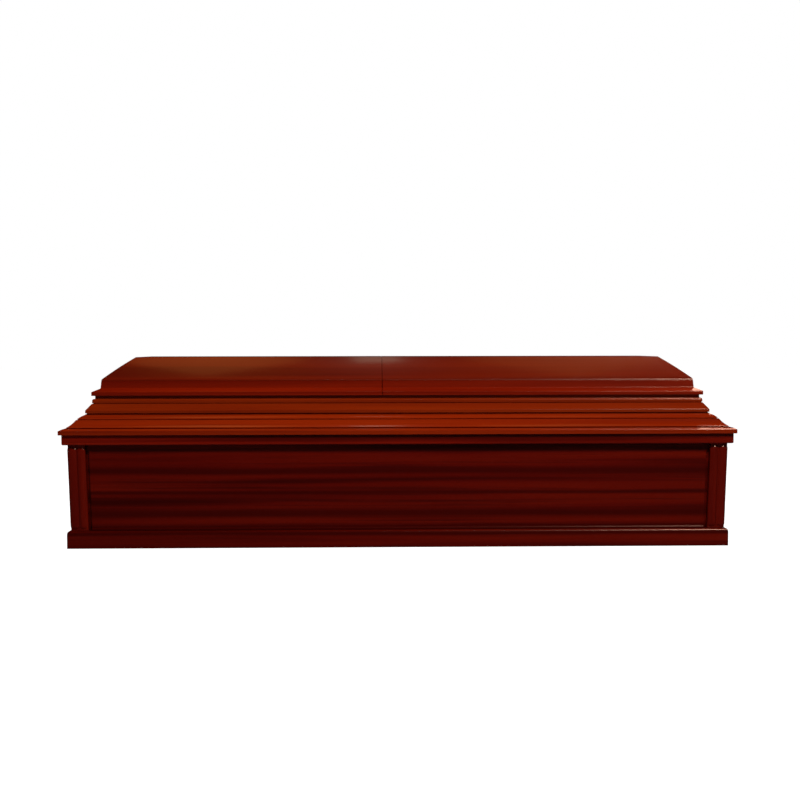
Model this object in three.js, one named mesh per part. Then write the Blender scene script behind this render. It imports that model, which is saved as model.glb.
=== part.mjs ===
// Wooden coffin: a flared panelled box on a base moulding, a moulded rim and a hipped crown in two caps.
// Millimetres, +Z up, origin on the floor at the middle of the footprint.
// +X runs to the foot end, -Y is the front. Insets are measured inwards from the face of the lower lip.
import * as THREE from "three";

// Overall sizes, over the lower lip
const coffin_length = 2080;
const coffin_width = 710;

// Fits, and the facets of each curve
const clearance = 0.3;
const curve_steps = 6;

// Plinth frame and the floor let into it
const base_inset = 20;
const base_height = 53;
const base_thickness = 64;
const base_edge_height = 13;
const base_edge_depth = 6;
const floor_thickness = 15;
const floor_ledge_height = 20;
const floor_ledge_width = 14;

// Corner posts
const post_width = 56;
const post_height = 265;
const post_foot_setback = 7;
const post_flare = 7;
const reed_width = 24;
const reed_height = 4;

// Panels between the posts
const panel_setback = 12;
const panel_thickness = 16;
const panel_bead_height = 8;
const panel_bead_depth = 4;

// Top rail
const rail_inset = 9;
const rail_height = 31;
const rail_thickness = 52;
const rail_edge_radius = 5;

// Ogee rim moulding
const lip_height = 12.5;
const lip_top_rise = 6.5;
const lip_top_depth = 13.5;
const ogee_height = 59;
const ogee_reach = 69;
const ogee_bulge = 2.5;
const ogee_top_width = 27;
const ogee_seat_width = 50;
const ogee_wall_height = 16;

// Step moulding
const step_height = 60;
const step_face_height = 13;
const step_slope_height = 21;
const step_slope_run = 18;
const bead_height = 8;
const bead_round = 6;
const neck_depth = 8;
const step_top_width = 22;

// Cap rails
const cap_lip_overhang = 10;
const cap_lip_height = 9;
const cap_lip_bevel_rise = 10.5;
const cap_lip_bevel_run = 24;
const cap_face_height = 23.5;
const cap_face_lean = 2;

// Crown boards
const crown_rise = 73;
const crown_run = 92;
const crown_board_thickness = 18;
const crown_edge_height = 4;
const crown_arris_round = 5;

// Seam between the two caps
const seam_x = -52;
const seam_gap = 1.2;

// Levels, from the floor up
const post_bottom = base_height + clearance;
const post_top = post_bottom + post_height;
const rail_bottom = post_top + clearance;
const rail_top = rail_bottom + rail_height;
const ogee_bottom = rail_top + clearance;
const ogee_top = ogee_bottom + ogee_height;
const step_bottom = ogee_top + clearance;
const step_top = step_bottom + step_height;
const cap_bottom = step_top + clearance;
const cap_lip_top = cap_bottom + cap_lip_height;
const cap_face_bottom = cap_lip_top + cap_lip_bevel_rise;
const cap_face_top = cap_face_bottom + cap_face_height;
const crown_bottom = cap_face_top + clearance;
const crown_top = crown_bottom + crown_rise;

// Insets of the faces that pieces share
const base_inner = base_inset + base_thickness;
const rebate_inset = base_inner - floor_ledge_width;
const post_inset = base_inset + post_foot_setback;
const ogee_inner = ogee_reach + ogee_top_width;
const bead_inset = ogee_reach + step_slope_run;
const neck_inset = bead_inset + neck_depth;
const cap_lip_inset = neck_inset - cap_lip_overhang;
const cap_face_inset = cap_lip_inset + cap_lip_bevel_run;
const crown_inset = cap_face_inset + cap_face_lean;
const crown_top_inset = crown_inset + crown_run;

// Slope of the crown boards, and where their underside meets the cap rails
const crown_slope = Math.atan2(crown_rise - crown_edge_height, crown_run);
const crown_board_drop = crown_board_thickness / Math.cos(crown_slope);
const crown_foot_width = (crown_board_drop - crown_edge_height) / Math.tan(crown_slope);

// Each of two mitred ends is set back by this much along its own run
const mitre_setback = clearance / Math.SQRT2;

// The four sides: how far each is turned, its half run along and its half distance across
const half_length = coffin_length / 2;
const half_width = coffin_width / 2;
const sides = {
  front: { turn: 0, half_run: half_length, half_across: half_width },
  foot: { turn: Math.PI / 2, half_run: half_width, half_across: half_length },
  back: { turn: Math.PI, half_run: half_length, half_across: half_width },
  head: { turn: -Math.PI / 2, half_run: half_width, half_across: half_length },
};

const coffin = new THREE.Group();

function lacquer(colour, roughness) {
  return new THREE.MeshStandardMaterial({ color: colour, roughness, metalness: 0 });
}

function add(name, geometry, material, turn = 0) {
  const mesh = new THREE.Mesh(geometry, material);
  mesh.name = name;
  mesh.rotation.z = turn;
  coffin.add(mesh);
  return mesh;
}

// How far the posts and panels have leaned outwards at a height
function flareAt(height) {
  return (post_flare * (height - post_bottom)) / post_height;
}

// Half the reach of a length at an inset and height: to its mitre, or to the post beside it
function mitreReach(side) {
  return (inset) => side.half_run - inset - mitre_setback;
}

function postReach(side) {
  return (inset, height) => side.half_run - post_inset + flareAt(height) - post_width - clearance;
}

// A length of moulding along a side: its section is drawn as inset and height, and both of its ends
// are moved to the places along the run that start and end give for each inset and height
function runLength(section, side, start, end) {
  const options = { depth: 1, steps: 1, bevelEnabled: false, curveSegments: curve_steps };
  const geometry = new THREE.ExtrudeGeometry(section, options);
  const place = geometry.attributes.position;
  for (let i = 0; i < place.count; i += 1) {
    const inset = place.getX(i);
    const height = place.getY(i);
    const along = place.getZ(i) === 0 ? start(inset, height) : end(inset, height);
    place.setXYZ(i, along, inset - side.half_across, height);
  }
  geometry.computeVertexNormals();
  return geometry;
}

// The same section on all four sides, with both ends at the reach that reachOf gives for a side
function addRing(nameOf, section, reachOf, colour) {
  for (const [where, side] of Object.entries(sides)) {
    const reach = reachOf(side);
    const start = (inset, height) => -reach(inset, height);
    add(nameOf(where), runLength(section, side, start, reach), lacquer(colour, 0.3), side.turn);
  }
}

// Plinth frame: a rounded top edge outside, and a ledge inside that carries the floor
function baseSection() {
  const shape = new THREE.Shape();
  shape.moveTo(base_inset, 0);
  shape.lineTo(base_inner, 0);
  shape.lineTo(base_inner, floor_ledge_height);
  shape.lineTo(rebate_inset, floor_ledge_height);
  shape.lineTo(rebate_inset, base_height);
  shape.lineTo(base_inset + base_edge_depth, base_height);
  shape.quadraticCurveTo(base_inset, base_height, base_inset, base_height - base_edge_height);
  shape.closePath();
  return shape;
}

addRing((where) => `base_moulding_${where}`, baseSection(), mitreReach, 0x7a1408);

// Floor board inside the rebate of the plinth frame
const floor_gap = 2 * (rebate_inset + clearance);
const floor_board = new THREE.BoxGeometry(coffin_length - floor_gap, coffin_width - floor_gap, floor_thickness);
floor_board.translate(0, 0, floor_ledge_height + clearance + floor_thickness / 2);
add("bottom_board", floor_board, lacquer(0x6e2a14, 0.6));

// Corner posts: square, with two round reeds side by side on each outer face. A reed's crest lies half
// way from its foot to the control point of its curve, so that point is as far out as the foot is in.
const reed_gap = (post_width - reed_height - 2 * reed_width) / 3;
const reed_starts = [reed_height + reed_gap, reed_height + 2 * reed_gap + reed_width];

function postSection() {
  const shape = new THREE.Shape();
  shape.moveTo(reed_height, reed_height);
  for (const start of reed_starts) {
    const end = start + reed_width;
    shape.lineTo(start, reed_height);
    shape.quadraticCurveTo((start + end) / 2, -reed_height, end, reed_height);
  }
  shape.lineTo(post_width, reed_height);
  shape.lineTo(post_width, post_width);
  shape.lineTo(reed_height, post_width);
  for (const start of reed_starts.toReversed()) {
    const end = start + reed_width;
    shape.lineTo(reed_height, end);
    shape.quadraticCurveTo(-reed_height, (start + end) / 2, reed_height, start);
  }
  shape.closePath();
  return shape;
}

function postGeometry() {
  const options = { depth: post_height, steps: 1, bevelEnabled: false, curveSegments: curve_steps };
  const geometry = new THREE.ExtrudeGeometry(postSection(), options);
  const place = geometry.attributes.position;
  for (let i = 0; i < place.count; i += 1) {
    const height = post_bottom + place.getZ(i);
    const inset = post_inset - flareAt(height);
    place.setXYZ(i, place.getX(i) + inset, place.getY(i) + inset, height);
  }
  geometry.computeVertexNormals();
  return geometry;
}

// Each corner: the turn that brings the post's outer arris to it, and its signs along X and Y
const corners = {
  front_head: { turn: 0, x: -1, y: -1 },
  front_foot: { turn: Math.PI / 2, x: 1, y: -1 },
  back_foot: { turn: Math.PI, x: 1, y: 1 },
  back_head: { turn: -Math.PI / 2, x: -1, y: 1 },
};

for (const [where, corner] of Object.entries(corners)) {
  const post = add(`corner_post_${where}`, postGeometry(), lacquer(0x7c1508, 0.3), corner.turn);
  post.position.set(corner.x * half_length, corner.y * half_width, 0);
}

// Panels: boards that lean with the posts, with a small bead along the foot
function panelSection() {
  const face = post_inset + panel_setback;
  const bead_top = post_bottom + panel_bead_height;
  const bead_face = face - panel_bead_depth;
  const shape = new THREE.Shape();
  shape.moveTo(bead_face, post_bottom);
  shape.lineTo(face + panel_thickness, post_bottom);
  shape.lineTo(face + panel_thickness - post_flare, post_top);
  shape.lineTo(face - post_flare, post_top);
  shape.lineTo(face - flareAt(bead_top), bead_top);
  shape.quadraticCurveTo(bead_face, bead_top, bead_face, post_bottom);
  return shape;
}

function panelName(where) {
  return where === "front" || where === "back" ? `side_panel_${where}` : `end_panel_${where}`;
}

addRing(panelName, panelSection(), postReach, 0x6a0f06);

// Top rail: a board on the posts and panels, rounded on its lower outer edge
function railSection() {
  const inner = rail_inset + rail_thickness;
  const shape = new THREE.Shape();
  shape.moveTo(rail_inset + rail_edge_radius, rail_bottom);
  shape.lineTo(inner, rail_bottom);
  shape.lineTo(inner, rail_top);
  shape.lineTo(rail_inset, rail_top);
  shape.lineTo(rail_inset, rail_bottom + rail_edge_radius);
  shape.quadraticCurveTo(rail_inset, rail_bottom, rail_inset + rail_edge_radius, rail_bottom);
  return shape;
}

addRing((where) => `top_rail_${where}`, railSection(), mitreReach, 0x7c1508);

// Ogee rim: a lip, then a cove that turns over into a round. Each half bulges off the straight line
// between the lip and the step by ogee_bulge, the upper half outwards and the lower half inwards.
function ogeeSection() {
  const lip_top = ogee_bottom + lip_height;
  const foot = new THREE.Vector2(lip_top_depth, lip_top + lip_top_rise);
  const head = new THREE.Vector2(ogee_reach, ogee_top);
  const middle = foot.clone().lerp(head, 0.5);
  const out = head.clone().sub(foot).normalize().multiplyScalar(2 * ogee_bulge);
  out.set(-out.y, out.x);
  const round = middle.clone().lerp(head, 0.5).add(out);
  const cove = foot.clone().lerp(middle, 0.5).sub(out);
  const shape = new THREE.Shape();
  shape.moveTo(0, ogee_bottom);
  shape.lineTo(ogee_seat_width, ogee_bottom);
  shape.lineTo(ogee_inner, ogee_top - ogee_wall_height);
  shape.lineTo(ogee_inner, ogee_top);
  shape.lineTo(head.x, head.y);
  shape.quadraticCurveTo(round.x, round.y, middle.x, middle.y);
  shape.quadraticCurveTo(cove.x, cove.y, foot.x, foot.y);
  shape.lineTo(0, lip_top);
  shape.closePath();
  return shape;
}

addRing((where) => `ogee_moulding_${where}`, ogeeSection(), mitreReach, 0x8c2008);

// Step moulding: a face, a slope, a bead that rounds over, and a neck under the caps
function stepSection() {
  const inner = neck_inset + step_top_width;
  const face_top = step_bottom + step_face_height;
  const slope_top = face_top + step_slope_height;
  const bead_top = slope_top + bead_height;
  const shape = new THREE.Shape();
  shape.moveTo(ogee_reach, step_bottom);
  shape.lineTo(ogee_inner, step_bottom);
  shape.lineTo(inner, slope_top);
  shape.lineTo(inner, step_top);
  shape.lineTo(neck_inset, step_top);
  shape.lineTo(neck_inset, bead_top + bead_round);
  shape.quadraticCurveTo(bead_inset, bead_top + bead_round, bead_inset, bead_top);
  shape.lineTo(bead_inset, slope_top);
  shape.lineTo(ogee_reach, face_top);
  shape.closePath();
  return shape;
}

addRing((where) => `step_moulding_${where}`, stepSection(), mitreReach, 0x8c2008);

// Cap rail: an overhanging lip with a bevelled top, then the upright face of the crown
function capRailSection() {
  const inner = crown_inset + crown_foot_width;
  const shape = new THREE.Shape();
  shape.moveTo(cap_lip_inset, cap_bottom);
  shape.lineTo(inner, cap_bottom);
  shape.lineTo(inner, cap_face_top);
  shape.lineTo(crown_inset, cap_face_top);
  shape.lineTo(cap_face_inset, cap_face_bottom);
  shape.lineTo(cap_lip_inset, cap_lip_top);
  shape.closePath();
  return shape;
}

// Sloping crown board: its foot stands on the cap rail, its arris is rounded and its top is cut plumb
function crownSection() {
  const edge_top = crown_bottom + crown_edge_height;
  const arris_rise = crown_arris_round * Math.tan(crown_slope);
  const shape = new THREE.Shape();
  shape.moveTo(crown_inset, crown_bottom);
  shape.lineTo(crown_inset + crown_foot_width, crown_bottom);
  shape.lineTo(crown_top_inset, crown_top - crown_board_drop);
  shape.lineTo(crown_top_inset, crown_top);
  shape.lineTo(crown_inset + crown_arris_round, edge_top + arris_rise);
  shape.quadraticCurveTo(crown_inset, edge_top, crown_inset, crown_bottom);
  return shape;
}

// A cap: a front, a back and one mitred end of each section, and a flat board between their tops.
// The seam is square across. Its place is turned round with the side that it ends.
function addCap(name, end_where, seam_side) {
  const seam = seam_x + (seam_side * seam_gap) / 2;
  for (const [kind, section] of [["rail", capRailSection()], ["slope", crownSection()]]) {
    for (const [where, facing] of [["front", 1], ["back", -1]]) {
      const side = sides[where];
      const reach = mitreReach(side);
      const toSeam = () => facing * seam;
      const mitre_first = seam_side * facing < 0;
      const start = mitre_first ? (inset) => -reach(inset) : toSeam;
      const end = mitre_first ? toSeam : reach;
      add(`${name}_${kind}_${where}`, runLength(section, side, start, end), lacquer(0x861d0a, 0.25), side.turn);
    }
    const side = sides[end_where];
    const reach = mitreReach(side);
    const start = (inset) => -reach(inset);
    add(`${name}_${kind}_end`, runLength(section, side, start, reach), lacquer(0x861d0a, 0.25), side.turn);
  }
  const outer = seam_side * (half_length - crown_top_inset - clearance);
  const board_width = coffin_width - 2 * (crown_top_inset + clearance);
  const board = new THREE.BoxGeometry(Math.abs(outer - seam), board_width, crown_board_thickness);
  board.translate((outer + seam) / 2, 0, crown_top - crown_board_thickness / 2);
  add(`${name}_top`, board, lacquer(0x861d0a, 0.25));
}

addCap("head_cap", "head", -1);
addCap("foot_cap", "foot", 1);

export default coffin;
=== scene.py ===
import math

import bmesh
import bpy
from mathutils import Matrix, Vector


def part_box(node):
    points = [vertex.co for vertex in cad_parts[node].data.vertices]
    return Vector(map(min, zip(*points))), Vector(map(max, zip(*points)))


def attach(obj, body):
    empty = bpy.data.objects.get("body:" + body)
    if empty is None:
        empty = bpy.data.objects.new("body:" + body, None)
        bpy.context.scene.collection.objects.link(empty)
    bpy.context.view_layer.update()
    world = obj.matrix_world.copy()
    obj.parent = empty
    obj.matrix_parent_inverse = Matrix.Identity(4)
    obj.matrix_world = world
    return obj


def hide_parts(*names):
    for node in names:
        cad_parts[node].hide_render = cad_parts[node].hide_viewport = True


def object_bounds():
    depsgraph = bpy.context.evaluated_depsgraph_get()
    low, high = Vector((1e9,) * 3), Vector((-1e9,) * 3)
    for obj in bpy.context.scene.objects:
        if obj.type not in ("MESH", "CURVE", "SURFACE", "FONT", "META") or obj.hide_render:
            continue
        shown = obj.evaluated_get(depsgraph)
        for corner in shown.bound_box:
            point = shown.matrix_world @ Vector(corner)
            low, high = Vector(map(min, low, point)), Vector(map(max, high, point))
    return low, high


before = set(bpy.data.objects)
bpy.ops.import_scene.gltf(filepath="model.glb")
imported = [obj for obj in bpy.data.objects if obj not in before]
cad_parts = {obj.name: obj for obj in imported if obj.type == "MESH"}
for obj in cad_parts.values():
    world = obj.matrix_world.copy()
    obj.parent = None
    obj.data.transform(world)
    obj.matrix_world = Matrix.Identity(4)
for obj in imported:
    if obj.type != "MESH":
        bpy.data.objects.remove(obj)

cad_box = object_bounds()


# Viewpoint: square to the long side from about 4 m, level with the crown, so the stepped ends show in
# outline. It is turned a little to the foot end and tilted a little down.
tilted_down = 2.39
rolled = 0.08
turned_right = 1.40
camera_angles = (math.radians(90 - tilted_down), math.radians(rolled), math.radians(-turned_right))

bpy.ops.object.camera_add(location=(-0.095, -4.298, 0.620), rotation=camera_angles)
camera = bpy.context.object
camera.name = "camera"
camera.data.lens = 58.15
bpy.context.scene.camera = camera
bpy.context.scene.view_settings.view_transform = "Standard"


# Studio: a plain pale floor under soft light. Four large lamps light the wood from the front, the back and
# the ends, and small tinted boxes shine only in the lacquer. The floor seems white from anywhere.
class Value:
    """One output of a material's nodes. Sums, differences and products of values add Math nodes."""

    def __init__(self, finish, socket):
        self.finish = finish
        self.socket = socket

    def math(self, operation, *terms):
        return self.finish.node("Math", {"operation": operation}, dict(enumerate(terms)))

    def __add__(self, other):
        return self.math("ADD", self, other)

    def __radd__(self, other):
        return self.math("ADD", other, self)

    def __sub__(self, other):
        return self.math("SUBTRACT", self, other)

    def __rsub__(self, other):
        return self.math("SUBTRACT", other, self)

    def __mul__(self, other):
        return self.math("MULTIPLY", self, other)

    def __rmul__(self, other):
        return self.math("MULTIPLY", other, self)


class Finish:
    """A material or a backdrop in the making. Its nodes are added one at a time, and feed its shader."""

    def __init__(self, owner, shader="Principled BSDF", **values):
        owner.use_nodes = True
        self.owner = owner
        self.tree = owner.node_tree
        self.shader = self.tree.nodes[shader]
        for socket, value in values.items():
            self.feed(socket.replace("_", " "), value)

    def plug(self, socket, value):
        if isinstance(value, Value):
            self.tree.links.new(value.socket, socket)
        else:
            socket.default_value = value

    def feed(self, socket, value):
        self.plug(self.shader.inputs[socket], value)

    def node(self, kind, settings=None, inputs=None, output=0):
        node = self.tree.nodes.new("ShaderNode" + kind)
        for key, value in (settings or {}).items():
            if key == "stops":
                while len(node.color_ramp.elements) < len(value):
                    node.color_ramp.elements.new(1)
                for stop, (place, colour) in zip(node.color_ramp.elements, value):
                    stop.position = place
                    stop.color = (*colour, 1)
            else:
                setattr(node, key, value)
        for key, value in (inputs or {}).items():
            self.plug(node.inputs[key], value)
        return Value(self, node.outputs[output])

    def mix(self, factor, first, second, blend="MIX"):
        settings = {"data_type": "RGBA", "blend_type": blend}
        return self.node("Mix", settings, {0: factor, 6: first, 7: second}, output=2)


bpy.ops.object.select_all(action="DESELECT")
floor_size = 60
bpy.ops.mesh.primitive_plane_add(size=floor_size, location=(0, 0, 0))
studio_floor = bpy.context.object
studio_floor.name = "studio_floor"

white = (1, 1, 1, 1)
black = (0, 0, 0, 1)
floor_grey = (0.25, 0.25, 0.25, 1)
floor_mirrored = (0.01, 0.01, 0.01, 1)
room_grey = (0.05, 0.05, 0.05, 1)
room_mirrored = (0.008, 0.008, 0.008, 1)

matt = dict(Roughness=1.0, Specular_IOR_Level=0.0, Emission_Strength=1.0)
paint = Finish(bpy.data.materials.new("floor_paint"), **matt)
seen = paint.node("LightPath", output=0)
mirrored = paint.node("LightPath", output=3)
paint.feed("Base Color", paint.mix(mirrored, floor_grey, floor_mirrored))
paint.feed("Emission Color", paint.mix(seen, black, white))
studio_floor.data.materials.append(paint.owner)

room = Finish(bpy.data.worlds.new("room"), "Background")
seen = room.node("LightPath", output=0)
mirrored = room.node("LightPath", output=3)
room.feed("Color", room.mix(seen, room.mix(mirrored, room_grey, room_mirrored), white))
bpy.context.scene.world = room.owner


def hang_light(name, place, target, size, brightness, tint=None):
    """A soft box of an even brightness. A tinted one only shines in the lacquer, and the others never do."""
    bpy.ops.object.light_add(type="AREA", location=place)
    light = bpy.context.object
    light.name = name
    light.data.shape = "RECTANGLE"
    light.data.size, light.data.size_y = size
    light.data.energy = brightness * math.pi * size[0] * size[1]
    light.data.color = tint or (1, 1, 1)
    light.rotation_euler = (Vector(target) - Vector(place)).to_track_quat("-Z", "Y").to_euler()
    light.visible_glossy = tint is not None
    light.visible_diffuse = tint is None


long_lamp = (2.6, 0.6)
end_lamp = (1.2, 0.8)
hang_light("front_light", (0.7, -2.7, 3.0), (0.3, -0.3, 0.35), long_lamp, brightness=25)
hang_light("back_light", (-0.4, 2.7, 3.0), (0, 0.3, 0.35), long_lamp, brightness=22)
hang_light("head_light", (-3.4, 0.2, 2.2), (-1, 0, 0.3), end_lamp, brightness=15)
hang_light("foot_light", (3.4, -0.2, 2.2), (1, 0, 0.3), end_lamp, brightness=15)

warm = (1, 0.33, 0.08)
cream = (1, 0.95, 0.7)
pink = (1, 0.58, 0.42)
crown_middle = (0, -0.2, 0.55)
hang_light("crown_box_left", (-0.88, 0.68, 3.0), crown_middle, (0.75, 0.65), brightness=1.9, tint=warm)
hang_light("crown_box_right", (0.90, 0.68, 3.0), crown_middle, (0.85, 0.65), brightness=1.1, tint=warm)
hang_light("seam_box", (-0.055, 0.80, 3.0), crown_middle, (0.24, 0.35), brightness=2.8, tint=cream)

foot_end = (0.9, -0.3, 0.45)
box_places = (1.02, 1.35, 1.75)
box_widths = (0.34, 0.30, 0.48)
over_brightness = (2, 6, 11)
edge_brightness = (4, 20, 58)
for number, (x, width) in enumerate(zip(box_places, box_widths)):
    over_place = (x, 1.56, 2.67)
    edge_place = (x, -2.60, 2.30)
    hang_light(f"over_box_{number}", over_place, foot_end, (width, 0.6), over_brightness[number], pink)
    hang_light(f"edge_box_{number}", edge_place, foot_end, (width, 0.8), edge_brightness[number], pink)


# Plinth frame: four lengths of solid mahogany with a rounded top edge, mitred, glued and lacquered. Each
# is milled to one section, drawn here as rungs from its outer face to its inner face, and run out.
mm = 0.001
half_length = cad_box[1].x
half_width = cad_box[1].y
mitre_gap = 0.3 * mm
long_way = ("X", ("front", "back"), 0, half_length, half_width)
short_way = ("Y", ("foot", "head"), math.pi / 2, half_width, half_length)


def only(piece):
    bpy.ops.object.select_all(action="DESELECT")
    bpy.context.view_layer.objects.active = piece
    piece.select_set(True)


def pick(piece, kind, test):
    """In edit mode, select only the verts, edges or faces that pass a test."""
    mesh = bmesh.from_edit_mesh(piece.data)
    bpy.ops.mesh.select_all(action="DESELECT")
    bpy.ops.mesh.select_mode(type={"verts": "VERT", "edges": "EDGE", "faces": "FACE"}[kind])
    for part in getattr(mesh, kind):
        if test(part):
            part.select_set(True)
    mesh.select_flush_mode()
    bmesh.update_edit_mesh(piece.data)


def bow(start, pull, end, steps=10):
    """The points of a curve from start to end that leans towards pull, without its first point."""
    points = []
    for step in range(1, steps + 1):
        t = step / steps
        weights = ((1 - t) ** 2, 2 * t * (1 - t), t * t)
        points.append(tuple(sum(w * c for w, c in zip(weights, trio)) for trio in zip(start, pull, end)))
    return points


def inset_at(face, height):
    """How far a face lies inwards at a height. The face is a list of inset and height points, going up."""
    for (inset, low), (next_inset, high) in zip(face, face[1:]):
        if height < high:
            return inset + (next_inset - inset) * max(0, height - low) / (high - low)
    return face[-1][0]


def mill(name, outer, inner, across, start, end):
    """A straight length along X with one section. The section starts as a plane that stands between its
    two lowest rungs. Each rung above is extruded from the last one and scaled to its own width."""
    heights = sorted({round(height, 6) for _, height in outer + inner})
    rungs = [(inset_at(outer, height), inset_at(inner, height), height) for height in heights]
    face, back, height = rungs[0]
    next_height = rungs[1][2]
    bpy.ops.object.select_all(action="DESELECT")
    centre = (start, (face + back) / 2 - across, (height + next_height) / 2)
    bpy.ops.mesh.primitive_plane_add(size=1, location=centre, rotation=(0, math.pi / 2, 0))
    piece = bpy.context.object
    piece.name = piece.data.name = name
    piece.scale = (next_height - height, back - face, 1)
    bpy.ops.object.transform_apply(location=True, rotation=True, scale=True)
    bpy.ops.object.mode_set(mode="EDIT")
    pick(piece, "verts", lambda v: v.co.z > centre[2])
    for next_face, next_back, next_height in rungs[1:]:
        if next_height > rungs[1][2]:
            bpy.ops.mesh.extrude_region_move(TRANSFORM_OT_translate={"value": (0, 0, next_height - height)})
        bpy.ops.transform.translate(value=(0, (next_face + next_back - face - back) / 2, 0))
        middle = (start, (next_face + next_back) / 2 - across, next_height)
        widening = (next_back - next_face) / (back - face)
        bpy.ops.transform.resize(value=(1, widening, 1), center_override=middle)
        face, back, height = next_face, next_back, next_height
    bpy.ops.mesh.select_all(action="SELECT")
    bpy.ops.mesh.extrude_region_move(TRANSFORM_OT_translate={"value": (end - start, 0, 0)})
    bpy.ops.mesh.select_all(action="SELECT")
    bpy.ops.mesh.remove_doubles(threshold=0.01 * mm)
    bpy.ops.mesh.normals_make_consistent(inside=False)
    bpy.ops.object.mode_set(mode="OBJECT")
    return piece


def ease(piece, radius, segments=3, sharper_than=24):
    """Rub the sharp edges down to a radius."""
    only(piece)
    edges = piece.modifiers.new("eased", "BEVEL")
    edges.width = radius
    edges.segments = segments
    edges.limit_method = "ANGLE"
    edges.angle_limit = math.radians(sharper_than)
    bpy.ops.object.modifier_apply(modifier="eased")


def saw(piece, place, away):
    """Saw off all that lies past a plane, and close the cut."""
    only(piece)
    bpy.ops.object.mode_set(mode="EDIT")
    bpy.ops.mesh.select_all(action="SELECT")
    bpy.ops.mesh.bisect(plane_co=place, plane_no=away, use_fill=True, clear_outer=True)
    bpy.ops.object.mode_set(mode="OBJECT")


def mitre(piece, run, across, ends=(-1, 1)):
    """Saw the ends of a length at 45 degrees, short of the corner by half of the mitre's gap."""
    for end in ends:
        saw(piece, (end * (run - mitre_gap / math.sqrt(2)), -across, 0), (end, 1, 0))


def smooth(piece):
    """Shade curves and eased edges smoothly, and keep the flats flat."""
    only(piece)
    bpy.ops.object.shade_smooth_by_angle(angle=math.radians(32))
    flats = piece.modifiers.new("flats", "WEIGHTED_NORMAL")
    flats.keep_sharp = True
    bpy.ops.object.modifier_apply(modifier="flats")


def turn(piece, angle, move=(0, 0, 0)):
    """Turn a piece about the coffin's middle, move it, and settle its place in its mesh."""
    only(piece)
    piece.rotation_euler = (0, 0, angle)
    piece.location = move
    bpy.ops.object.transform_apply(location=True, rotation=True, scale=False)


def twin(piece):
    """A copy of a piece, with its own mesh."""
    only(piece)
    bpy.ops.object.duplicate()
    return bpy.context.object


def install(piece, node, material):
    """The piece stands for its solid in the frame and gets its finish."""
    piece.data.materials.clear()
    piece.data.materials.append(material)
    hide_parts(node)
    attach(piece, "root")


def install_pair(piece, name, way, node, woods):
    """The finished length goes on one side of the coffin, and a copy of it on the side across from it."""
    grain, side_names, angle = way[:3]
    for side, length, turned in zip(side_names, (piece, twin(piece)), (angle, angle + math.pi)):
        turn(length, turned)
        length.name = length.data.name = f"{name}_{side}"
        install(length, node.format(side), woods[grain])


def mahogany(name, grain, dark, body, light, offset=0.0, streaking=1.0, heart_lines_and_painted_shade=(), gloss=0.5, glow=0.1):
    """Mahogany with its grain along X, Y or Z: broad bands, narrow streaks, fibres and short pores. The dark
    lines each run on at one height, given as its height and half width; some are heart lines of the grain,
    and some are bands of painted shade. The gloss is the weight of the clear lacquer, and the glow is the
    shine of the wood under it."""
    wood = bpy.data.materials.new(name)
    finish = Finish(wood, Specular_IOR_Level=glow, Coat_Weight=gloss, Coat_Roughness=0.12, Coat_IOR=1.5)
    place = finish.node("TexCoord", output=3)

    def figure(along, across, shift, detail, distortion=0.0):
        scale = [across] * 3
        scale["XYZ".index(grain)] = along
        start = (offset + shift, 0.7 * offset, shift)
        stretched = finish.node("Mapping", {}, {"Vector": place, "Scale": scale, "Location": start})
        looks = {"Vector": stretched, "Scale": 1.0, "Detail": detail, "Distortion": distortion}
        return finish.node("TexNoise", {}, looks)

    def band(value, low, high):
        return finish.node("MapRange", {}, {"Value": value, "From Min": low, "From Max": high})

    bands = figure(along=0.45, across=15, shift=1.3, detail=3, distortion=0.4)
    streaks = band(figure(along=1.3, across=80, shift=5.1, detail=4, distortion=0.3), 0.52, 0.68)
    fibres = figure(along=7, across=420, shift=2.7, detail=3)
    pores = band(figure(along=45, across=1500, shift=8.2, detail=1), 0.62, 0.70)
    tone = finish.node("ValToRGB", {"stops": [(0.38, dark), (0.50, body), (0.64, light)]}, {"Fac": bands})
    tone = finish.mix(streaks * (0.5 * streaking), tone, (*dark, 1))
    tone = finish.mix((1 - fibres) * 0.3, tone, (*dark, 1))
    tone = finish.mix(pores * 0.3, tone, (*dark, 1))
    height = finish.node("SeparateXYZ", {}, {0: place}, output=2)
    wander = 12 * mm
    # Each band darkens the wood about one height and wavers a little along the run. Some bands are heart
    # lines of the grain; others are painted shade.
    for middle, half_width_of_line in heart_lines_and_painted_shade:
        waves = (figure(along=1.1, across=6, shift=middle, detail=2) - 0.5) * wander
        distance = height - middle + waves
        distance = distance.math("ABSOLUTE", distance)
        line = 1 - band(distance, 0.25 * half_width_of_line, half_width_of_line)
        tone = finish.mix(line * 0.8, tone, (*dark, 1))
    finish.feed("Base Color", tone)
    finish.feed("Roughness", 0.26 + fibres * 0.10 + streaks * 0.06)
    relief = fibres * 0.7 - pores * 0.3 - streaks * 0.2
    finish.feed("Normal", finish.node("Bump", {}, {"Strength": 0.15, "Distance": 0.3 * mm, "Height": relief}))
    return wood


plinth_reds = dict(dark=(0.045, 0.0008, 0.0001), body=(0.112, 0.0026, 0.0002), light=(0.150, 0.0045, 0.0003))
# Painted shade: a dark band along the rounded top edge of the plinth, where the panels stand on it.
painted_shade_on_edge = [(0.045, 0.012), (0.045, 0.008)]
plinth_looks = dict(gloss=0.3, heart_lines_and_painted_shade=painted_shade_on_edge)
plinth_woods = {
    "X": mahogany("plinth_mahogany_x", "X", **plinth_looks, **plinth_reds),
    "Y": mahogany("plinth_mahogany_y", "Y", offset=3.1, **plinth_looks, **plinth_reds),
}

base_low, base_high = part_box("base_moulding_front")
base_face = base_low.y + half_width
base_inner = base_high.y + half_width
base_top = base_high.z
base_edge_height = 13 * mm
base_edge_depth = 6 * mm
base_arris = 1.6 * mm
ledge_height = 20 * mm
ledge_width = 14 * mm
rebate = base_inner - ledge_width

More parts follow.
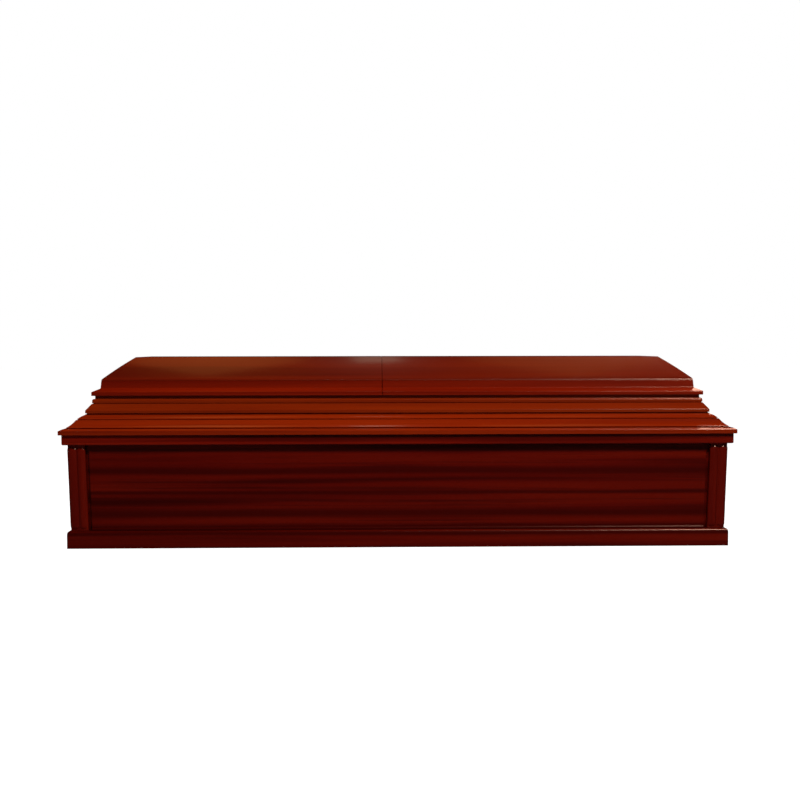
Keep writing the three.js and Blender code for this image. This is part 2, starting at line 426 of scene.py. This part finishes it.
base_outer = [(base_face, 0), (base_face, base_top - base_edge_height)]
base_outer += bow(base_outer[-1], (base_face, base_top), (base_face + base_edge_depth, base_top))

for way in (long_way, short_way):
    run, across = way[3:]
    moulding = mill("plinth", base_outer, [(rebate, 0), (rebate, base_top)], across, -run, run)
    bpy.ops.object.mode_set(mode="EDIT")
    bpy.ops.mesh.select_all(action="SELECT")
    bpy.ops.mesh.bisect(plane_co=(0, 0, ledge_height), plane_no=(0, 0, 1))
    pick(moulding, "faces", lambda f: f.normal.y > 0.9 and f.calc_center_median().z < ledge_height)
    bpy.ops.mesh.extrude_region_move(TRANSFORM_OT_translate={"value": (0, ledge_width, 0)})
    bpy.ops.object.mode_set(mode="OBJECT")
    ease(moulding, base_arris)
    mitre(moulding, run, across)
    smooth(moulding)
    install_pair(moulding, "plinth", way, "base_moulding_{}", plinth_woods)


# Floor board: plain mahogany, let into the rebate of the plinth frame and lying on its ledge. It is
# sealed with a thin matt coat, and its edges are eased.
floor_low, floor_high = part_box("bottom_board")
floor_arris = 1.0 * mm

bpy.ops.object.select_all(action="DESELECT")
bpy.ops.mesh.primitive_cube_add(size=1, location=(floor_low + floor_high) / 2)
floor_board = bpy.context.object
floor_board.name = floor_board.data.name = "floor_board"
floor_board.scale = floor_high - floor_low
bpy.ops.object.transform_apply(location=True, rotation=True, scale=True)
ease(floor_board, floor_arris)
smooth(floor_board)
floor_reds = dict(dark=(0.13, 0.045, 0.018), body=(0.22, 0.09, 0.04), light=(0.30, 0.13, 0.06))
floor_wood = mahogany("floor_board_mahogany", "X", gloss=0.1, offset=6.4, **floor_reds)
install(floor_board, "bottom_board", floor_wood)


# Corner posts: square mahogany posts, leaning outwards with the panels. Two round reeds with domed ends
# are worked side by side on each outer face. The grain runs up the post.
post_low, post_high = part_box("corner_post_front_head")
post_height = post_high.z - post_low.z
post_lean = 7 * mm
post_width = post_high.x - post_low.x - post_lean
post_foot = Vector((post_low.x + post_lean, post_low.y + post_lean, post_low.z))
reed_height = 4 * mm
reed_half_width = 14 * mm
reed_half_depth = 8 * mm
reed_sunk = 4.12 * mm
reed_stop = 14 * mm
reed_margin = 3 * mm
reed_pitch = 25.33 * mm
first_reed = 17.33 * mm
post_arris = 1.5 * mm


def reed(x, y, facing_y):
    """A long bead with domed ends that leans like the post. It is a sphere, drawn out at its middle."""
    bpy.ops.object.select_all(action="DESELECT")
    bottom = post_low.z + reed_margin + reed_stop
    length = post_height - 2 * (reed_margin + reed_stop)
    bpy.ops.mesh.primitive_uv_sphere_add(segments=40, ring_count=16, radius=1, location=(x, y, bottom))
    bead = bpy.context.object
    half_x, half_y = (reed_half_width, reed_half_depth) if facing_y else (reed_half_depth, reed_half_width)
    bead.scale = (half_x, half_y, reed_stop)
    bpy.ops.object.transform_apply(location=True, rotation=True, scale=True)
    bpy.ops.object.mode_set(mode="EDIT")
    pick(bead, "faces", lambda f: f.calc_center_median().z > bottom)
    shift = -post_lean * length / post_height
    bpy.ops.mesh.extrude_region_move(TRANSFORM_OT_translate={"value": (shift, shift, length)})
    bpy.ops.object.mode_set(mode="OBJECT")
    return bead


def join_solid(piece, other):
    """Make two solids one, and clear the second away."""
    only(piece)
    union = piece.modifiers.new("union", "BOOLEAN")
    union.operation = "UNION"
    union.solver = "EXACT"
    union.object = other
    bpy.ops.object.modifier_apply(modifier="union")
    bpy.data.objects.remove(other)


bpy.ops.object.select_all(action="DESELECT")
body_width = post_width - reed_height
body_inset = reed_height + body_width / 2
body_middle = post_foot + Vector((body_inset, body_inset, post_height / 2))
bpy.ops.mesh.primitive_cube_add(size=1, location=body_middle)
post = bpy.context.object
post.name = post.data.name = "post_front_head"
post.scale = (body_width, body_width, post_height)
bpy.ops.object.transform_apply(location=True, rotation=True, scale=True)
bpy.ops.object.mode_set(mode="EDIT")
pick(post, "verts", lambda v: v.co.z > body_middle.z)
bpy.ops.transform.translate(value=(-post_lean, -post_lean, 0))
bpy.ops.object.mode_set(mode="OBJECT")
ease(post, post_arris)
foot_lean = post_lean * (reed_margin + reed_stop) / post_height
for place in (first_reed, first_reed + reed_pitch):
    along = place - foot_lean
    deep = reed_height + reed_sunk - foot_lean
    join_solid(post, reed(post_foot.x + along, post_foot.y + deep, True))
    join_solid(post, reed(post_foot.x + deep, post_foot.y + along, False))
smooth(post)

post_wood = mahogany("post_mahogany", "Z", offset=1.7, **plinth_reds)
corners = {
    "front_head": (0, -1, -1),
    "front_foot": (math.pi / 2, 1, -1),
    "back_foot": (math.pi, 1, 1),
    "back_head": (-math.pi / 2, -1, 1),
}
corner = Vector((-half_length, -half_width, 0))
turn(post, 0, -corner)
for where, (angle, x, y) in corners.items():
    copy = twin(post)
    copy.name = copy.data.name = f"post_{where}"
    turn(copy, angle, (x * half_length, y * half_width, 0))
    install(copy, f"corner_post_{where}", post_wood)
bpy.data.objects.remove(post)


# Panels: mahogany boards between the posts, leaning like them. The face stands proud of a sunk margin
# at each post, and a small bead runs along its foot. Dark heart lines run the length of the side boards,
# and bands of painted shade darken the foot of every board, over the bead, where it stands on the plinth.
panel_low, panel_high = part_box("side_panel_front")
panel_setback = 19 * mm
panel_face = base_face + panel_setback
panel_thickness = 16 * mm
bead_height = 8 * mm
bead_depth = 4 * mm
margin_width = 10 * mm
margin_depth = 8 * mm
panel_arris = 0.8 * mm
panel_middle = (panel_low.z + panel_high.z) / 2
cutter_spare = 20 * mm
cutter_height = post_height + cutter_spare

panel_reds = dict(dark=(0.038, 0.0006, 0.0001), body=(0.108, 0.0024, 0.0002), light=(0.145, 0.0045, 0.0003))
panel_looks = dict(streaking=1.3, gloss=0.1)
# Painted shade: dark bands across the foot of each panel, over the bead. The side panels also carry three
# heart lines of the grain higher up.
painted_shade_at_foot = [(0.061, 0.016), (0.056, 0.008)]
side_heart_lines_and_foot_shade = painted_shade_at_foot + [(0.105, 0.020), (0.168, 0.009), (0.236, 0.016)]
panel_woods = {
    "X": mahogany("panel_mahogany_x", "X", offset=2.2, heart_lines_and_painted_shade=side_heart_lines_and_foot_shade, **panel_looks, **panel_reds),
    "Y": mahogany("panel_mahogany_y", "Y", offset=4.9, heart_lines_and_painted_shade=painted_shade_at_foot, **panel_looks, **panel_reds),
}


def lean_at(height):
    return post_lean * (height - post_low.z) / post_height


def carve(piece, other):
    """Cut one solid out of another, and clear the cutter away."""
    only(piece)
    cut = piece.modifiers.new("cut", "BOOLEAN")
    cut.operation = "DIFFERENCE"
    cut.solver = "EXACT"
    cut.object = other
    bpy.ops.object.modifier_apply(modifier="cut")
    bpy.data.objects.remove(other)


bead_top = panel_low.z + bead_height
bead_face = panel_face - bead_depth
bead_meets = (panel_face - lean_at(bead_top), bead_top)
panel_outer = [(bead_face, panel_low.z)]
panel_outer += bow(panel_outer[0], (bead_face, bead_top), bead_meets, steps=8)
panel_outer.append((panel_face - post_lean, panel_high.z))
panel_back = panel_face + panel_thickness
panel_inner = [(panel_back, panel_low.z), (panel_back - post_lean, panel_high.z)]

for way, kind in ((long_way, "side_panel"), (short_way, "end_panel")):
    run, across = way[3:]
    foot_reach = run - (post_foot.x + half_length) - post_width - mitre_gap
    panel = mill(kind, panel_outer, panel_inner, across, -run, run)
    for end in (-1, 1):
        lean = Vector((end * post_height, 0, -post_lean))
        saw(panel, (end * foot_reach, 0, panel_low.z), lean)
        bpy.ops.object.select_all(action="DESELECT")
        cutter_place = (end * foot_reach, panel_face - across, panel_middle)
        bpy.ops.mesh.primitive_cube_add(size=1, location=cutter_place)
        cutter = bpy.context.object
        cutter.scale = (2 * margin_width, 2 * margin_depth, cutter_height)
        bpy.ops.object.transform_apply(location=True, rotation=True, scale=True)
        bpy.ops.object.mode_set(mode="EDIT")
        for above in (True, False):
            pick(cutter, "verts", lambda v: (v.co.z > panel_middle) == above)
            leaning = lean_at(panel_middle + (cutter_height / 2 if above else -cutter_height / 2))
            bpy.ops.transform.translate(value=(end * leaning, -leaning, 0))
        pick(cutter, "verts", lambda v: v.co.y < panel_face - across - margin_depth / 2)
        bpy.ops.transform.translate(value=(0, -cutter_spare, 0))
        bpy.ops.object.mode_set(mode="OBJECT")
        carve(panel, cutter)
    ease(panel, panel_arris)
    smooth(panel)
    install_pair(panel, "panel", way, kind + "_{}", panel_woods)


# Top rail: mahogany boards on edge over the posts and panels, rounded on their lower outer edge, mitred
# and glued.
rail_low, rail_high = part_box("top_rail_front")
rail_face = rail_low.y + half_width
rail_back = rail_high.y + half_width
rail_round = 5 * mm
rail_arris = 1.0 * mm

rail_outer = [(rail_face + rail_round, rail_low.z)]
rail_outer += bow(rail_outer[0], (rail_face, rail_low.z), (rail_face, rail_low.z + rail_round))
rail_outer.append((rail_face, rail_high.z))
rail_inner = [(rail_back, rail_low.z), (rail_back, rail_high.z)]

rail_reds = dict(dark=(0.070, 0.0016, 0.0001), body=(0.180, 0.0052, 0.0003), light=(0.240, 0.0085, 0.0005))
rail_woods = {
    "X": mahogany("rail_mahogany_x", "X", offset=0.6, **rail_reds),
    "Y": mahogany("rail_mahogany_y", "Y", offset=3.7, **rail_reds),
}

for way in (long_way, short_way):
    run, across = way[3:]
    rail = mill("rail", rail_outer, rail_inner, across, -run, run)
    ease(rail, rail_arris)
    mitre(rail, run, across)
    smooth(rail)
    install_pair(rail, "rail", way, "top_rail_{}", rail_woods)


# Rim: one wide ogee moulding round the box, a lip and then a cove that turns over into a round. Two
# narrow quirks set off the cove. It is solid mahogany, mitred, and stained brighter than the box.
ogee_low, ogee_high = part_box("ogee_moulding_front")
lip_height = 12.5 * mm
lip_top_rise = 6.5 * mm
lip_top_depth = 13.5 * mm
ogee_reach = 69 * mm
ogee_bulge = 2.5 * mm
ogee_seat = 50 * mm
ogee_back = ogee_high.y + half_width
ogee_wall = 16 * mm
ogee_arris = 1.8 * mm

ogee_reds = dict(dark=(0.120, 0.0050, 0.0002), body=(0.205, 0.0115, 0.0003), light=(0.255, 0.0165, 0.0004))
ogee_woods = {
    "X": mahogany("ogee_mahogany_x", "X", offset=6.1, **ogee_reds),
    "Y": mahogany("ogee_mahogany_y", "Y", offset=8.8, **ogee_reds),
}

lip_top = ogee_low.z + lip_height
cove_foot = Vector((lip_top_depth, lip_top + lip_top_rise))
round_head = Vector((ogee_reach, ogee_high.z))
middle = cove_foot.lerp(round_head, 0.5)
outwards = (round_head - cove_foot).normalized() * 2 * ogee_bulge
outwards = Vector((-outwards.y, outwards.x))
cove_pull = cove_foot.lerp(middle, 0.5) - outwards
round_pull = middle.lerp(round_head, 0.5) + outwards
ogee_outer = [(0, ogee_low.z), (0, lip_top), tuple(cove_foot)]
ogee_outer += bow(cove_foot, cove_pull, middle, steps=12)
ogee_outer += bow(middle, round_pull, round_head, steps=12)
ogee_inner = [(ogee_seat, ogee_low.z), (ogee_back, ogee_high.z - ogee_wall), (ogee_back, ogee_high.z)]

cove_quirk = cove_foot.y + 0.5 * mm
round_quirk = ogee_high.z - 14 * mm


def scratch(piece, face, height, across, tall, deep):
    """Plane a quirk along a length: a narrow level groove, which shows as a dark line."""
    outside = 30 * mm
    bpy.ops.object.select_all(action="DESELECT")
    middle = inset_at(face, height) - across + (deep - outside) / 2
    bpy.ops.mesh.primitive_cube_add(size=1, location=(0, middle, height))
    iron = bpy.context.object
    iron.scale = (2.2 * half_length, deep + outside, tall)
    bpy.ops.object.transform_apply(location=True, rotation=True, scale=True)
    carve(piece, iron)


for way in (long_way, short_way):
    run, across = way[3:]
    ogee = mill("ogee", ogee_outer, ogee_inner, across, -run, run)
    ease(ogee, ogee_arris)
    scratch(ogee, ogee_outer, cove_quirk, across, tall=3.6 * mm, deep=7 * mm)
    scratch(ogee, ogee_outer, round_quirk, across, tall=2.2 * mm, deep=4 * mm)
    mitre(ogee, run, across)
    smooth(ogee)
    install_pair(ogee, "ogee", way, "ogee_moulding_{}", ogee_woods)


# Step: a second moulding on the rim, with an upright face, a slope, a bead that rounds over, and the
# neck that the caps sit on. Quirks set off its foot and the bead. Mitred and glued like the rim.
step_low, step_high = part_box("step_moulding_front")
step_face = step_low.y + half_width
step_back = step_high.y + half_width
step_face_height = 13 * mm
step_slope_height = 21 * mm
step_slope_run = 18 * mm
step_bead_height = 8 * mm
step_bead_round = 6 * mm
neck_depth = 8 * mm
step_arris = 1.6 * mm

face_top = step_low.z + step_face_height
slope_top = face_top + step_slope_height
step_bead_face = step_face + step_slope_run
step_bead_top = slope_top + step_bead_height
neck_face = step_bead_face + neck_depth
neck_foot = (neck_face, step_bead_top + step_bead_round)
step_outer = [(step_face, step_low.z), (step_face, face_top)]
step_outer += [(step_bead_face, slope_top), (step_bead_face, step_bead_top)]
step_outer += bow(step_outer[-1], (step_bead_face, neck_foot[1]), neck_foot)
step_outer.append((neck_face, step_high.z))
step_inner = [(ogee_back, step_low.z), (step_back, slope_top), (step_back, step_high.z)]

step_reds = dict(dark=(0.110, 0.0055, 0.0003), body=(0.185, 0.0120, 0.0004), light=(0.240, 0.0190, 0.0006))
step_woods = {
    "X": mahogany("step_mahogany_x", "X", offset=11.3, **step_reds),
    "Y": mahogany("step_mahogany_y", "Y", offset=12.8, **step_reds),
}

step_bead_line = [(step_bead_face, 0), (step_bead_face, step_high.z)]
foot_quirk = step_low.z + 2.5 * mm

for way in (long_way, short_way):
    run, across = way[3:]
    step = mill("step", step_outer, step_inner, across, -run, run)
    ease(step, step_arris)
    scratch(step, step_bead_line, slope_top, across, tall=2 * mm, deep=3 * mm)
    scratch(step, step_outer, foot_quirk, across, tall=3.4 * mm, deep=4 * mm)
    mitre(step, run, across)
    smooth(step)
    install_pair(step, "step", way, "step_moulding_{}", step_woods)


# Caps: the crown lifts off in two caps, short over the head and long over the foot. Each has a rail with
# a bevelled lip, which hangs a little over the neck. It is mitred at the end and cut square at the seam.
caps = {"head": -1, "foot": 1}
cap_low, cap_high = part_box("foot_cap_rail_front")
seam_half_gap = 0.6 * mm
seam = cap_low.x - seam_half_gap
cap_lip_face = cap_low.y + half_width
cap_back = cap_high.y + half_width
cap_lip_height = 9 * mm
cap_bevel_rise = 10.5 * mm
cap_bevel_run = 24 * mm
cap_lean = 2 * mm
drip_width = 7 * mm
drip_height = 3 * mm
cap_arris = 1.8 * mm

cap_reds = dict(dark=(0.135, 0.0045, 0.0002), body=(0.215, 0.0090, 0.0003), light=(0.275, 0.0150, 0.0004))
cap_woods = {
    "X": mahogany("cap_rail_mahogany_x", "X", streaking=0.7, offset=7.7, **cap_reds),
    "Y": mahogany("cap_rail_mahogany_y", "Y", streaking=0.7, offset=9.4, **cap_reds),
}

cap_lip_top = cap_low.z + cap_lip_height
crown_foot = cap_lip_face + cap_bevel_run
cap_outer = [(cap_lip_face, cap_low.z), (cap_lip_face, cap_lip_top)]
cap_outer.append((crown_foot, cap_lip_top + cap_bevel_rise))
cap_outer.append((crown_foot + cap_lean, cap_high.z))
cap_inner = [(cap_back, cap_low.z), (cap_back, cap_high.z)]


def cap_lengths(kind, outer, inner, radius, woods, shape=None):
    """The front, back and end lengths of both caps, all with one section."""
    for cap, end in caps.items():
        grain, side_names, angle, run, across = long_way
        for side, facing, turned in zip(side_names, (1, -1), (angle, angle + math.pi)):
            cut = facing * (seam + end * seam_half_gap)
            far = facing * end * run
            name = f"{cap}_cap_{kind}_{side}"
            piece = mill(name + "_wood", outer, inner, across, min(cut, far), max(cut, far))
            if shape:
                shape(piece, across)
            ease(piece, radius)
            mitre(piece, run, across, ends=(facing * end,))
            smooth(piece)
            turn(piece, turned)
            install(piece, name, woods[grain])
    grain, side_names, angle, run, across = short_way
    piece = mill(f"{kind}_end_wood", outer, inner, across, -run, run)
    if shape:
        shape(piece, across)
    ease(piece, radius)
    mitre(piece, run, across)
    smooth(piece)
    for cap, length, turned in zip(side_names, (piece, twin(piece)), (angle, angle + math.pi)):
        turn(length, turned)
        length.name = length.data.name = f"{cap}_cap_{kind}_end_wood"
        install(length, f"{cap}_cap_{kind}_end", woods[grain])


def drop_lip(piece, across):
    """The front of the lip hangs a little lower than the cap's seat, outside the neck that it covers."""
    drip = cap_lip_face + drip_width - across
    only(piece)
    bpy.ops.object.mode_set(mode="EDIT")
    bpy.ops.mesh.select_all(action="SELECT")
    bpy.ops.mesh.bisect(plane_co=(0, drip, 0), plane_no=(0, 1, 0))
    pick(piece, "faces", lambda f: f.normal.z < -0.9 and f.calc_center_median().y < drip)
    bpy.ops.mesh.extrude_region_move(TRANSFORM_OT_translate={"value": (0, 0, -drip_height)})
    bpy.ops.object.mode_set(mode="OBJECT")


cap_lengths("rail", cap_outer, cap_inner, cap_arris, cap_woods, drop_lip)


# Crown boards: wide, slightly swelling boards that slope up from the cap rails, with a rounded lower
# arris. They meet in hips at the corners, and their upper edges are cut plumb for the top boards.
crown_low, crown_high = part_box("foot_cap_slope_front")
crown_face = crown_low.y + half_width
crown_top_face = crown_high.y + half_width
board_thickness = 18 * mm
crown_edge_height = 4 * mm
arris_round = 5 * mm
crown_swell = 1.5 * mm
crown_arris = 1.0 * mm
feather_edge = 0.2 * mm

slope = math.atan2(crown_high.z - crown_low.z - crown_edge_height, crown_top_face - crown_face)
plumb_drop = board_thickness / math.cos(slope)
crown_foot_width = (plumb_drop - crown_edge_height) / math.tan(slope)
edge_top = crown_low.z + crown_edge_height
arris_end = (crown_face + arris_round, edge_top + arris_round * math.tan(slope))
crown_outer = [(crown_face, crown_low.z)]
crown_outer += bow(crown_outer[0], (crown_face, edge_top), arris_end)
slope_middle = ((arris_end[0] + crown_top_face) / 2, (arris_end[1] + crown_high.z) / 2)
pull_out = 2 * crown_swell * math.sin(slope)
pull_up = 2 * crown_swell * math.cos(slope)
slope_pull = (slope_middle[0] - pull_out, slope_middle[1] + pull_up)
slope_head = (crown_top_face - feather_edge, crown_high.z)
crown_outer += bow(arris_end, slope_pull, slope_head, steps=12)
crown_inner = [(crown_face + crown_foot_width, crown_low.z), (crown_top_face, crown_high.z - plumb_drop)]
crown_inner.append((crown_top_face, crown_high.z))

crown_reds = dict(dark=(0.080, 0.0028, 0.0001), body=(0.115, 0.0045, 0.0002), light=(0.145, 0.0070, 0.0003))
crown_looks = dict(streaking=0.5, gloss=0.3, glow=0.25)
crown_woods = {
    "X": mahogany("crown_mahogany_x", "X", offset=15.7, **crown_looks, **crown_reds),
    "Y": mahogany("crown_mahogany_y", "Y", offset=17.4, **crown_looks, **crown_reds),
}
cap_lengths("slope", crown_outer, crown_inner, crown_arris, crown_woods)


# Top boards: a flat board closes the top of each cap, flush with the sloping boards, with eased edges
# that leave a fine line round it.
top_wood = mahogany("top_mahogany", "X", streaking=0.5, offset=19.2, **crown_reds)

for cap in caps:
    low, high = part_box(f"{cap}_cap_top")
    bpy.ops.object.select_all(action="DESELECT")
    bpy.ops.mesh.primitive_cube_add(size=1, location=(low + high) / 2)
    board = bpy.context.object
    board.name = board.data.name = f"{cap}_cap_top_board"
    board.scale = high - low
    bpy.ops.object.transform_apply(location=True, rotation=True, scale=True)
    ease(board, crown_arris)
    smooth(board)
    install(board, f"{cap}_cap_top", top_wood)
